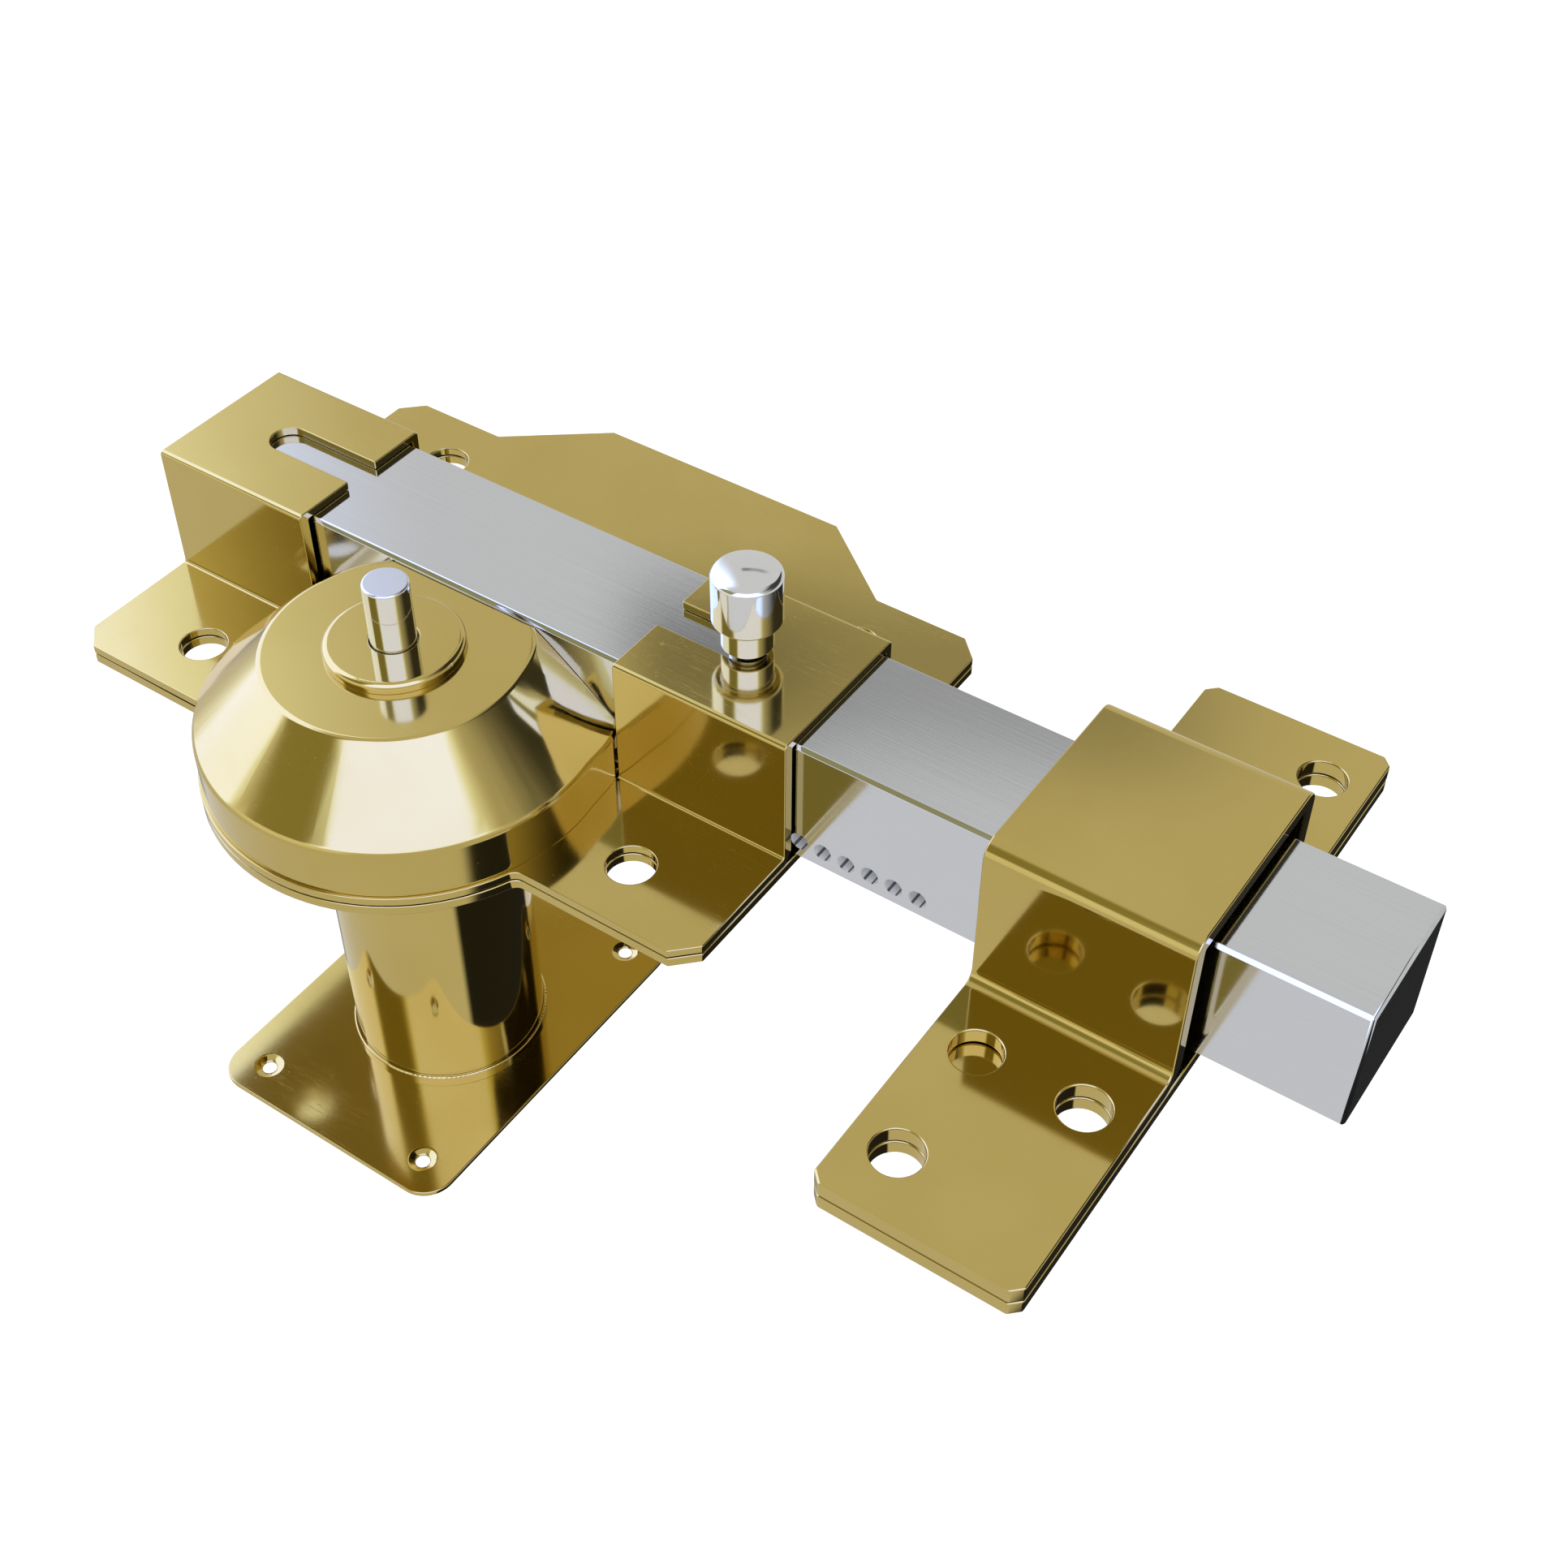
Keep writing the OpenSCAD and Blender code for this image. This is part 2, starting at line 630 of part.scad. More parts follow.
// The spindle: journal with a slot for the tailpiece, square seat for the wheel, and a long end
// with a fine ring mark half way up
module spindle() {
    end_z = spindle_top - spindle_end_r;
    color(brass_col) difference() {
        union() {
            translate([0, 0, spindle_foot]) cylinder(r = journal_r, h = wheel_z - spindle_foot);
            translate([-wheel_square / 2, -wheel_square / 2, wheel_z])
                cube([wheel_square, wheel_square, wheel_t]);
            translate([0, 0, wheel_z + wheel_t]) cylinder(r = spindle_r, h = spindle_mark_z - wheel_z - wheel_t);
            translate([0, 0, wheel_z + wheel_t]) cylinder(r = spindle_stub_r, h = end_z - wheel_z - wheel_t);
            translate([0, 0, end_z]) rotate_extrude() {
                box2d(0, 0, spindle_stub_r - spindle_end_r, spindle_end_r);
                intersection() {
                    translate([spindle_stub_r - spindle_end_r, 0]) circle(spindle_end_r);
                    box2d(0, 0, spindle_stub_r, spindle_end_r);
                }
            }
        }
        ring_cut(spindle_r, groove_r, circlip_z - seat, circlip_t + 2 * seat);
        ring_cut(spindle_r, spindle_r - spindle_mark, spindle_mark_z, spindle_mark);
        translate([-tail_w / 2 - seat, -tail_t / 2 - seat, spindle_foot - past])
            cube([tail_w + 2 * seat, tail_t + 2 * seat, spindle_slot + past]);
    }
}

// One tooth, pointing along +Y, from inside the wheel to its tip
module tooth2d() {
    tip_r = pitch_r + tooth_reach;
    half_root = tooth_root_w / 2;
    half_tip = tooth_tip_w / 2;
    polygon([[-half_root, wheel_r - past], [half_root, wheel_r - past], [half_root, wheel_r],
             [half_tip, tip_r - tooth_tip_cut], [half_tip - tooth_tip_cut, tip_r],
             [tooth_tip_cut - half_tip, tip_r], [-half_tip, tip_r - tooth_tip_cut], [-half_root, wheel_r]]);
}

// The stamped toothed wheel, turned so that its teeth stand in line with the bolt's holes
module drive_wheel() {
    hole = wheel_square + 2 * seat;
    first = rack_lead / pitch_r * 180 / PI;
    color(dark_steel_col) translate([0, 0, wheel_z]) linear_extrude(wheel_t) difference() {
        union() {
            circle(wheel_r);
            for (i = [0 : wheel_teeth - 1]) rotate(-first - i * 360 / wheel_teeth) tooth2d();
        }
        square(hole, center = true);
        for (a = [45 : 90 : 315]) rotate(a) translate([wheel_hole_at, 0]) circle(wheel_hole_r);
    }
}

module wheel_nut() {
    color(steel_col) translate([0, 0, wheel_z + wheel_t]) difference() {
        cylinder(d = nut_flats / cos(30), h = nut_h, $fn = 6);
        translate([0, 0, -past]) cylinder(r = spindle_r + seat, h = nut_h + 2 * past);
    }
}

// An open ring in a groove: radius inside and outside, thickness and width of its gap
module open_ring(inner, outer, t, gap) {
    linear_extrude(t) difference() {
        circle(outer);
        circle(inner);
        box2d(0, -gap / 2, outer + past, gap / 2);
    }
}

module spindle_circlip() {
    color(dark_steel_col) translate([0, 0, circlip_z])
        open_ring(groove_r + seat, circlip_r, circlip_t, circlip_gap);
}

module tailpiece() {
    color(steel_col) translate([-tail_w / 2, -tail_t / 2, plug_back - tail_in_plug])
        cube([tail_w, tail_t, tail_top - plug_back + tail_in_plug]);
}

// The key plug: head, keyway, pin holes, groove for its clip and slot for the tailpiece
module key_plug() {
    color("#c9b25e") difference() {
        union() {
            translate([0, 0, nose_z]) cylinder(r = plug_head_r, h = plug_head_h);
            translate([0, 0, nose_z]) cylinder(r = plug_r, h = plug_back - nose_z);
        }
        translate([-keyway_w / 2, keyway_low, nose_z - past])
            cube([keyway_w, keyway_high - keyway_low, pin_z0 + pin_n * pin_pitch - nose_z + past]);
        at_pins() cylinder(r = chamber_r, h = plug_r + past);
        ring_cut(plug_r, clip_groove_r, cyl_back + bush_gap - seat, clip_t + 2 * seat);
        translate([-tail_w / 2 - seat, -tail_t / 2 - seat, plug_back - tail_in_plug - seat])
            cube([tail_w + 2 * seat, tail_t + 2 * seat, tail_in_plug + past]);
    }
}

// Key pins, their tips in the keyway and their flat ends at the plug's surface
module key_pins() {
    color("#c9b25e") for (i = [0 : pin_n - 1]) {
        shank = key_pin_l[i] - key_pin_tip;
        translate([0, pin_top_y, pin_z0 + i * pin_pitch]) rotate([90, 0, 0]) {
            cylinder(r = pin_r, h = shank);
            translate([0, 0, shank]) cylinder(r1 = pin_r, r2 = pin_r - key_pin_tip, h = key_pin_tip);
        }
    }
}

module plug_clip() {
    color(dark_steel_col) translate([0, 0, cyl_back + bush_gap])
        open_ring(clip_groove_r + seat, clip_r, clip_t, clip_gap);
}

// The cylinder: nose in the outer plate, plug bore, pin chambers and tapped holes at the back
module cylinder_body() {
    color(brass_col) difference() {
        union() {
            translate([0, 0, nose_z]) cylinder(r = nose_r, h = plate_top - nose_z);
            translate([0, 0, plate_top]) cylinder(r = cyl_r, h = cyl_l);
        }
        translate([0, 0, nose_z - past]) {
            cylinder(r = plug_r + run_gap, h = cyl_back - nose_z + 2 * past);
            cylinder(r = plug_head_r + run_gap, h = plug_head_h + bush_gap + past);
        }
        at_pins() translate([0, 0, plug_r - past])
            cylinder(r = chamber_r, h = strip_y - plug_r + 1.5 * past);
        translate([-strip_w / 2 - seat, strip_y - seat, pin_z0 - pin_pitch / 2 - seat])
            cube([strip_w + 2 * seat, cyl_r, pin_n * pin_pitch + 2 * seat]);
        at_cylinder_screws() translate([0, 0, cyl_back - cyl_screw_bite - 1])
            cylinder(r = cyl_screw_r + seat, h = cyl_screw_bite + 1 + past);
    }
}

// The strip that closes the pin chambers
module chamber_strip() {
    color(brass_col) intersection() {
        translate([-strip_w / 2, strip_y, pin_z0 - pin_pitch / 2]) cube([strip_w, cyl_r, pin_n * pin_pitch]);
        translate([0, 0, plate_top]) cylinder(r = cyl_r, h = cyl_l);
    }
}

module driver_pins() {
    color(steel_col) at_pins() translate([0, 0, driver_y]) cylinder(r = pin_r, h = driver_l);
}

// Points of a ring of the spring's wire: at turn t, sides around a circle of radius w
function wire_ring(r, w, rise, t, sides) =
    [for (s = [0 : sides - 1])
        let (a = 360 * t, b = 360 * s / sides, q = r + w * cos(b))
            [q * cos(a), q * sin(a), rise * t + w * sin(b)]];

// A coil spring along +Z: mean radius, wire radius, length and number of turns
module coil_spring(r, w, l, turns) {
    sides = 6;
    per_turn = 10;
    rings = turns * per_turn;
    rise = (l - 2 * w) / turns;
    points = [for (k = [0 : rings]) each wire_ring(r, w, rise, k / per_turn, sides)];
    walls = [for (k = [0 : rings - 1], s = [0 : sides - 1])
        let (a = k * sides + s, b = k * sides + (s + 1) % sides)
            each [[a, b, a + sides], [b, b + sides, a + sides]]];
    caps = [for (s = [1 : sides - 2])
        each [[0, s + 1, s], [rings * sides, rings * sides + s, rings * sides + s + 1]]];
    translate([0, 0, w]) polyhedron(points, concat(walls, caps));
}

module pin_springs() {
    spring_y = driver_y + driver_l + seat;
    spring_l = strip_y - spring_y - 2 * seat;
    color(steel_col) at_pins() translate([0, 0, spring_y])
        coil_spring(spring_coil_r, spring_wire_r, spring_l, spring_turns);
}

// Long countersunk screws from the body into the back of the cylinder
module cylinder_screws() {
    low = cyl_back - cyl_screw_bite;
    color(dark_steel_col) at_cylinder_screws() difference() {
        union() {
            translate([0, 0, low]) cylinder(r = cyl_screw_r, h = flange_top - low);
            translate([0, 0, flange_top - cyl_screw_head_h])
                cylinder(r1 = cyl_screw_r, r2 = cyl_screw_head_r, h = cyl_screw_head_h);
        }
        translate([-cyl_screw_head_r, -cyl_screw_slot / 2, flange_top - cyl_screw_slot])
            cube([2 * cyl_screw_head_r, cyl_screw_slot, past + cyl_screw_slot]);
    }
}

module cylinder_sleeve() {
    color(brass_col) translate([0, 0, plate_top]) difference() {
        cylinder(r = sleeve_r, h = door_t);
        translate([0, 0, -past]) cylinder(r = sleeve_inner_r, h = door_t + 2 * past);
    }
}

// The ring round the sleeve's foot, rounded on its upper outer edge
module sleeve_ring() {
    edge_r = (ring_r - sleeve_r - seat) / 2;
    color(brass_col) translate([0, 0, plate_top]) rotate_extrude() {
        box2d(sleeve_r + seat, 0, ring_r - edge_r, ring_h);
        box2d(sleeve_r + seat, 0, ring_r, ring_h - edge_r);
        translate([ring_r - edge_r, ring_h - edge_r]) circle(edge_r);
    }
}

module outer_plate() {
    sink_h = plate_t * 0.6;
    color(brass_col) translate([0, 0, plate_top - plate_t]) difference() {
        linear_extrude(plate_t) {
            box2d(-plate_w / 2 + plate_corner_r, -plate_l / 2, plate_w / 2 - plate_corner_r, plate_l / 2);
            box2d(-plate_w / 2, -plate_l / 2 + plate_corner_r, plate_w / 2, plate_l / 2 - plate_corner_r);
            for (x = [-1, 1], y = [-1, 1])
                translate([x * (plate_w / 2 - plate_corner_r), y * (plate_l / 2 - plate_corner_r)])
                    circle(plate_corner_r);
        }
        translate([0, 0, -past]) cylinder(r = nose_r + seat, h = plate_t + 2 * past);
        for (x = [-plate_dx / 2, plate_dx / 2], y = [-plate_dy / 2, plate_dy / 2]) translate([x, y, 0]) {
            translate([0, 0, -past]) cylinder(r = plate_hole_r, h = plate_t + 2 * past);
            translate([0, 0, plate_t - sink_h]) cylinder(r1 = plate_hole_r, r2 = plate_sink_r, h = sink_h);
        }
    }
}

// Places its children at the striker's four screw holes, which go through plate and bridge
module at_strike_screws() {
    for (at = [[hole_x0, outer_row0], [hole_x1, inner_row0], [hole_x0, inner_row1], [hole_x1, outer_row1]])
        translate([at[0], at[1], 0]) children();
}

module strike_plate() {
    color(brass_col) translate([0, 0, -strike_t]) difference() {
        linear_extrude(strike_t) cut_rectangle(strike_x0, strike_y0, strike_x1, strike_y1, strike_cut);
        translate([0, 0, -past]) at_strike_screws() cylinder(r = strike_hole_r, h = strike_t + 2 * past);
    }
}

// The bridge: one bent strap with two feet; two of its holes stop at the plate under it
module strike_bridge() {
    inner_r = max(bridge_bend_r - strike_t, 0.1);
    under_r = bridge_foot_r + strike_t;
    color(brass_col) difference() {
        intersection() {
            along_x(strike_x0, strike_w) difference() {
                union() {
                    box2d(strike_y0, 0, strike_y1, strike_t);
                    arch2d(bridge_y0, bridge_y1, 0, bridge_top, bridge_bend_r);
                    corner_fillet([bridge_y0, strike_t], bridge_foot_r, -1);
                    corner_fillet([bridge_y1, strike_t], bridge_foot_r, 1);
                }
                arch2d(bridge_y0 + strike_t, bridge_y1 - strike_t, -past, bridge_inner_top, inner_r);
                corner_fillet([bridge_y0 + strike_t, 0], under_r, -1);
                corner_fillet([bridge_y1 - strike_t, 0], under_r, 1);
            }
            translate([0, 0, -past]) linear_extrude(bridge_top + 2 * past)
                cut_rectangle(strike_x0, strike_y0, strike_x1, strike_y1, strike_cut);
        }
        translate([0, 0, -past]) {
            at_strike_screws() cylinder(r = strike_hole_r, h = strike_t + 2 * past);
            for (at = [[hole_x0, inner_row0], [hole_x1, inner_row1]])
                translate([at[0], at[1], 0]) cylinder(r = strike_hole_r, h = strike_t + 2 * past);
        }
    }
}

base_plate();
guide_housing();
dome_cover();
cover_rivets();
dome_washer();
spindle_bush();
bolt_bar();
knob();
knob_stud();
spindle();
drive_wheel();
wheel_nut();
spindle_circlip();
tailpiece();
key_plug();
key_pins();
plug_clip();
cylinder_body();
chamber_strip();
driver_pins();
pin_springs();
cylinder_screws();
cylinder_sleeve();
sleeve_ring();
outer_plate();
strike_plate();
strike_bridge();
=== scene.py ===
import json
import math

import bmesh
import bpy
from mathutils import Matrix, Vector


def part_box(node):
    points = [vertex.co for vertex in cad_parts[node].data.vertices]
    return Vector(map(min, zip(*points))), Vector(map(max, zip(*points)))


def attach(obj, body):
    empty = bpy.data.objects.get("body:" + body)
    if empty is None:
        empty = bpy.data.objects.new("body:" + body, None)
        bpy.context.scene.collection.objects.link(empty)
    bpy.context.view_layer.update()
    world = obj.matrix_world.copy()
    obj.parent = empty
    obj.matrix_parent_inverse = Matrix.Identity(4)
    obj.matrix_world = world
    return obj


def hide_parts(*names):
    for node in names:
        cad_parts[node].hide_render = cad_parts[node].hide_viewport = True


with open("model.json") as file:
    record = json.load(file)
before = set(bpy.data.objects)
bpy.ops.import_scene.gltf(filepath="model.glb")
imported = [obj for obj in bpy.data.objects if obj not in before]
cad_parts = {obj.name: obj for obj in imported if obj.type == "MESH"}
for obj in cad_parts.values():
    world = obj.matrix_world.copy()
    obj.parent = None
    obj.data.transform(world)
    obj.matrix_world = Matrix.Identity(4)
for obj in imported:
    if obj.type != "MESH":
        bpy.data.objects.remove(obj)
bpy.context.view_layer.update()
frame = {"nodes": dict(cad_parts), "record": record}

MM = 0.001
body_of_node = {n: b for b, nodes in frame["record"]["behaviour"]["bodies"].items() for n in nodes}
slot_of_node = {s["node"]: s["material_slot"] for s in frame["record"]["subparts"]}

# Camera
AZIMUTH, ELEVATION, ROLL = (math.radians(v) for v in (33.950, 44.612, 0.426))
TARGET = Vector((46.603, 38.823, -10.760)) * MM
DISTANCE = 369.011 * MM
FOCAL_PX, IMAGE_PX, SENSOR = 2706.608, 1932.0, 36.0
CLIP_NEAR, CLIP_FAR = 0.01, 20.0
LEVEL_PART = math.cos(ELEVATION)
back = Vector((math.sin(AZIMUTH) * LEVEL_PART, -math.cos(AZIMUTH) * LEVEL_PART, math.sin(ELEVATION)))
level_right = (-back).cross(Vector((0, 0, 1))).normalized()
level_up = level_right.cross(-back)
right = math.cos(ROLL) * level_right + math.sin(ROLL) * level_up
upward = -math.sin(ROLL) * level_right + math.cos(ROLL) * level_up
camera_data = bpy.data.cameras.new("camera")
camera_data.sensor_width = SENSOR
camera_data.lens = FOCAL_PX / IMAGE_PX * SENSOR
camera_data.clip_start = CLIP_NEAR
camera_data.clip_end = CLIP_FAR
camera = bpy.data.objects.new("camera", camera_data)
bpy.context.scene.collection.objects.link(camera)
pose = Matrix((right, upward, back)).transposed().to_4x4()
pose.translation = TARGET + DISTANCE * back
camera.matrix_world = pose
bpy.context.scene.camera = camera


# Node helpers
def new_material(name):
    material = bpy.data.materials.new(name)
    material.use_nodes = True
    tree = material.node_tree
    tree.nodes.clear()
    out = tree.nodes.new("ShaderNodeOutputMaterial")
    shader = tree.nodes.new("ShaderNodeBsdfPrincipled")
    tree.links.new(shader.outputs["BSDF"], out.inputs["Surface"])
    return material, tree, shader


def add(tree, kind, **values):
    """A new node, with each value set on the input of that name or else on the node itself."""
    node = tree.nodes.new(kind)
    for key, value in values.items():
        if key in node.inputs:
            node.inputs[key].default_value = value
        else:
            setattr(node, key, value)
    return node


def stretched(tree, stretch=(1, 1, 1), turn=0.0):
    """Object coordinates in millimetres, turned about Z and then scaled along each axis."""
    coord = add(tree, "ShaderNodeTexCoord")
    mapping = add(tree, "ShaderNodeMapping")
    mapping.inputs["Rotation"].default_value = (0, 0, turn)
    mapping.inputs["Scale"].default_value = tuple(s / MM for s in stretch)
    tree.links.new(coord.outputs["Object"], mapping.inputs["Vector"])
    return mapping.outputs["Vector"]


def noise(tree, vector, scale, detail=3.0, rough=0.5):
    """Noise from 0 to 1, with scale waves for each millimetre."""
    node = add(tree, "ShaderNodeTexNoise", Scale=scale, Detail=detail, Roughness=rough)
    tree.links.new(vector, node.inputs["Vector"])
    return node.outputs["Fac"]


def remap(tree, value, source, target=(0.0, 1.0), smooth=False):
    """The value carried from the source range to the target range, and held at its ends."""
    node = add(tree, "ShaderNodeMapRange")
    if smooth:
        node.interpolation_type = "SMOOTHSTEP"
    for key, v in zip(("From Min", "From Max", "To Min", "To Max"), (*source, *target)):
        node.inputs[key].default_value = v
    tree.links.new(value, node.inputs["Value"])
    return node.outputs["Result"]


def math_node(tree, operation, a, b=0.0):
    node = add(tree, "ShaderNodeMath", operation=operation)
    for i, v in enumerate((a, b)):
        if isinstance(v, (int, float)):
            node.inputs[i].default_value = v
        else:
            tree.links.new(v, node.inputs[i])
    return node.outputs[0]


def mix_colour(tree, fac, a, b):
    """A mix of two colours, each three numbers or another node's output."""
    node = add(tree, "ShaderNodeMix", data_type="RGBA")
    for key, v in (("A", a), ("B", b)):
        if isinstance(v, tuple):
            node.inputs[key].default_value = (*v, 1)
        else:
            tree.links.new(v, node.inputs[key])
    tree.links.new(fac, node.inputs["Factor"])
    return node.outputs["Result"]


def bump(tree, shader, heights):
    """Chains bumps of (height, strength, distance in mm) onto the shader."""
    last = None
    for height, strength, distance in heights:
        node = add(tree, "ShaderNodeBump", Strength=strength, Distance=distance * MM)
        tree.links.new(height, node.inputs["Height"])
        if last is not None:
            tree.links.new(last, node.inputs["Normal"])
        last = node.outputs["Normal"]
    tree.links.new(last, shader.inputs["Normal"])


def thin_lines(tree, value, width):
    """1 where the value is a half, falling to 0 within the width on either side."""
    off = math_node(tree, "ABSOLUTE", math_node(tree, "SUBTRACT", value, 0.5))
    return remap(tree, off, (0.0, width), (1.0, 0.0))


def scratches(tree, turn, width, density, along=0.012):
    """Fine hairlines that run in one direction, in patches: 1 on a hairline, 0 elsewhere."""
    streaks = noise(tree, stretched(tree, (along, 1.0, 1.0), turn), density, 2.0, 0.6)
    line = thin_lines(tree, streaks, width)
    patches = noise(tree, stretched(tree, turn=turn * 2), 0.09, 2.0)
    return math_node(tree, "MULTIPLY", line, remap(tree, patches, (0.45, 0.65), smooth=True))


def fibres(tree, scale, width):
    """Fine curled marks such as lint and wiping leave, in patches."""
    line = thin_lines(tree, noise(tree, stretched(tree, turn=0.7), scale, 1.0), width)
    patches = noise(tree, stretched(tree, turn=1.9), 0.12, 2.0)
    return math_node(tree, "MULTIPLY", line, remap(tree, patches, (0.54, 0.66), smooth=True))


# Materials
BRASS = (0.595, 0.46, 0.142)
BRASS_DARK = (0.575, 0.44, 0.128)
# Painted reflection in the drive holes: the bright and the dark colour of the stripes in their walls
BORE_PAINTED_LIGHT = (0.97, 0.98, 0.97)
BORE_PAINTED_DARK = (0.15, 0.16, 0.17)

# Spacing of the bolt's drive holes in mm, and the number of painted dark reflection stripes in each
TOOTH_PITCH = 4.25
PAINTED_STRIPES = 3


def brass(name, roughness=0.07, haze=0.03, hairlines=0.4, speck=0.3):
    """Polished, lacquered brass with faint cloudiness, hairlines and specks of dust."""
    material, tree, shader = new_material(name)
    shader.inputs["Metallic"].default_value = 1.0
    shader.inputs["Coat Weight"].default_value = 0.12
    shader.inputs["Coat Roughness"].default_value = 0.05
    plain = stretched(tree)
    clouds = noise(tree, plain, 0.05, 4.0)
    cloudy = remap(tree, clouds, (0.35, 0.7), smooth=True)
    tree.links.new(mix_colour(tree, cloudy, BRASS, BRASS_DARK), shader.inputs["Base Color"])

    lines = math_node(tree, "MAXIMUM", scratches(tree, 0.5, 0.010, 3.0), scratches(tree, 2.1, 0.008, 2.4))
    lint = math_node(tree, "MULTIPLY", fibres(tree, 0.35, 0.006), speck)
    lines = math_node(tree, "MAXIMUM", lines, lint)
    dust = remap(tree, noise(tree, plain, 2.6, 2.0), (0.69, 0.75))
    dusty = remap(tree, noise(tree, plain, 0.07, 2.0), (0.5, 0.62), smooth=True)
    dust = math_node(tree, "MULTIPLY", dust, dusty)

    rough = math_node(tree, "ADD", remap(tree, clouds, (0.3, 0.7), (roughness, roughness + haze)),
                      math_node(tree, "MULTIPLY", lines, 0.2 * hairlines))
    rough = math_node(tree, "ADD", rough, math_node(tree, "MULTIPLY", dust, 0.35 * speck))
    tree.links.new(rough, shader.inputs["Roughness"])
    bump(tree, shader, [(noise(tree, plain, 0.9, 2.0), 0.02, 0.03), (lines, -0.2 * hairlines, 0.01)])
    return material


def steel(name, base, roughness, grain=(1, 1, 1), grain_scale=6.0, depth=0.15, spread=0.1, contrast=0.08):
    """Bare metal whose grain may be drawn out along one axis, as brushing is."""
    material, tree, shader = new_material(name)
    shader.inputs["Metallic"].default_value = 1.0
    grain_value = noise(tree, stretched(tree, grain), grain_scale, 4.0, 0.65)
    clouds = noise(tree, stretched(tree), 0.06, 3.0)
    darker = tuple(c * (1 - contrast) for c in base)
    shade = remap(tree, grain_value, (0.3, 0.7))
    tree.links.new(mix_colour(tree, shade, base, darker), shader.inputs["Base Color"])
    rough = math_node(tree, "ADD", remap(tree, grain_value, (0.3, 0.7), (roughness, roughness + spread)),
                      remap(tree, clouds, (0.3, 0.7), (0.0, spread * 0.5)))
    tree.links.new(rough, shader.inputs["Roughness"])
    bump(tree, shader, [(grain_value, depth, 0.02)])
    return material


def bore_painted_reflections(name):
    """The wall of the bolt's drive holes: painted bright, with painted dark stripes that stand in for the
    reflections in a bore, alike in every hole.
    """
    material, tree, shader = new_material(name)
    shader.inputs["Metallic"].default_value = 0.25
    shader.inputs["Roughness"].default_value = 0.35
    split = add(tree, "ShaderNodeSeparateXYZ")
    tree.links.new(stretched(tree), split.inputs[0])
    # Painted reflection: bright and dark stripes in the base colour, alike in each hole, stand in for what a
    # bore's wall mirrors
    phase = math_node(tree, "MULTIPLY", split.outputs[0], PAINTED_STRIPES * 2 * math.pi / TOOTH_PITCH)
    streak = remap(tree, math_node(tree, "SINE", phase), (0.45, 0.9), smooth=True)
    tree.links.new(mix_colour(tree, streak, BORE_PAINTED_LIGHT, BORE_PAINTED_DARK), shader.inputs["Base Color"])
    bump(tree, shader, [(noise(tree, stretched(tree, (1, 0.1, 1)), 6.0, 2.0), 0.1, 0.02)])
    return material


MAT = {
    "brass_sheet": brass("brass_sheet"),
    "brass_scuffed": brass("brass_scuffed", roughness=0.08, hairlines=0.8, speck=0.6),
    "brass_turned": brass("brass_turned", roughness=0.06, haze=0.02, hairlines=0.2),
    "bolt_steel": steel("bolt_steel", (0.675, 0.68, 0.685), 0.05, grain=(0.004, 1.0, 1.0),
                        grain_scale=4.0, depth=0.2, spread=0.03, contrast=0.06),
    "bolt_polished": steel("bolt_polished", (0.70, 0.71, 0.74), 0.07, grain=(0.02, 1.0, 1.0),
                           grain_scale=5.0, depth=0.04, spread=0.04, contrast=0.03),
    # The drive holes' walls carry painted reflections, as stripes in their colour
    "bore_steel": bore_painted_reflections("bore_steel"),
    "knob_chrome": steel("knob_chrome", (0.75, 0.755, 0.74), 0.05, grain_scale=1.5,
                         depth=0.02, spread=0.03, contrast=0.02),
    "bright_steel": steel("bright_steel", (0.66, 0.67, 0.69), 0.16, grain_scale=3.0,
                          depth=0.1, spread=0.08),
    "dark_steel": steel("dark_steel", (0.22, 0.22, 0.22), 0.34, grain_scale=5.0,
                        depth=0.2, spread=0.15),
}


# Dressed pieces
MERGE = 1e-6
FLAT_ANGLE = 0.4
CORNER_ANGLE = 28.0
SMOOTH_ANGLE = 32.0


def dress(node, width, material=None, others=(), shape=None, shortest=0.0, segments=3, share=None):
    """A copy of a CAD node with its flat faces joined and its edges rounded by a width in mm.

    others are (material, test) for the faces that pass a test, and shape moves the copy's points.
    Edges under the shortest length, in mm, stay sharp, and share gives an edge's part of the width.
    """
    source = frame["nodes"][node]
    mesh = bpy.data.meshes.new(node + "_dressed")
    bm = bmesh.new()
    bm.from_mesh(source.data)
    bmesh.ops.remove_doubles(bm, verts=bm.verts, dist=MERGE)
    bmesh.ops.dissolve_limit(bm, angle_limit=math.radians(FLAT_ANGLE), verts=bm.verts, edges=bm.edges)
    bm.normal_update()
    for face in bm.faces:
        face.smooth = True
        for index, (_, test) in enumerate(others, 1):
            if test(face):
                face.material_index = index
    if shape:
        shape(bm)
    weight = bm.edges.layers.float.new("bevel_weight_edge")
    for edge in bm.edges:
        if len(edge.link_faces) == 2 and edge.calc_face_angle() > math.radians(CORNER_ANGLE):
            rounded = edge.calc_length() >= shortest * MM
            edge[weight] = (share(edge) if share else 1.0) if rounded else 0.0
            edge.smooth = rounded
    bm.to_mesh(mesh)
    bm.free()
    piece = bpy.data.objects.new(node + "_dressed", mesh)
    bpy.context.scene.collection.objects.link(piece)
    mesh.materials.append(MAT[material or slot_of_node[node]])
    for name, _ in others:
        mesh.materials.append(MAT[name])
    rounding = piece.modifiers.new("edges", "BEVEL")
    rounding.limit_method = "WEIGHT"
    rounding.width = width * MM
    rounding.segments = segments
    rounding.use_clamp_overlap = False
    rounding.miter_outer = "MITER_ARC"
    even = piece.modifiers.new("even", "WEIGHTED_NORMAL")
    even.mode = "FACE_AREA"
    even.weight = 100
    even.thresh = 0.01
    even.keep_sharp = True
    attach(piece, body_of_node[node])
    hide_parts(node)


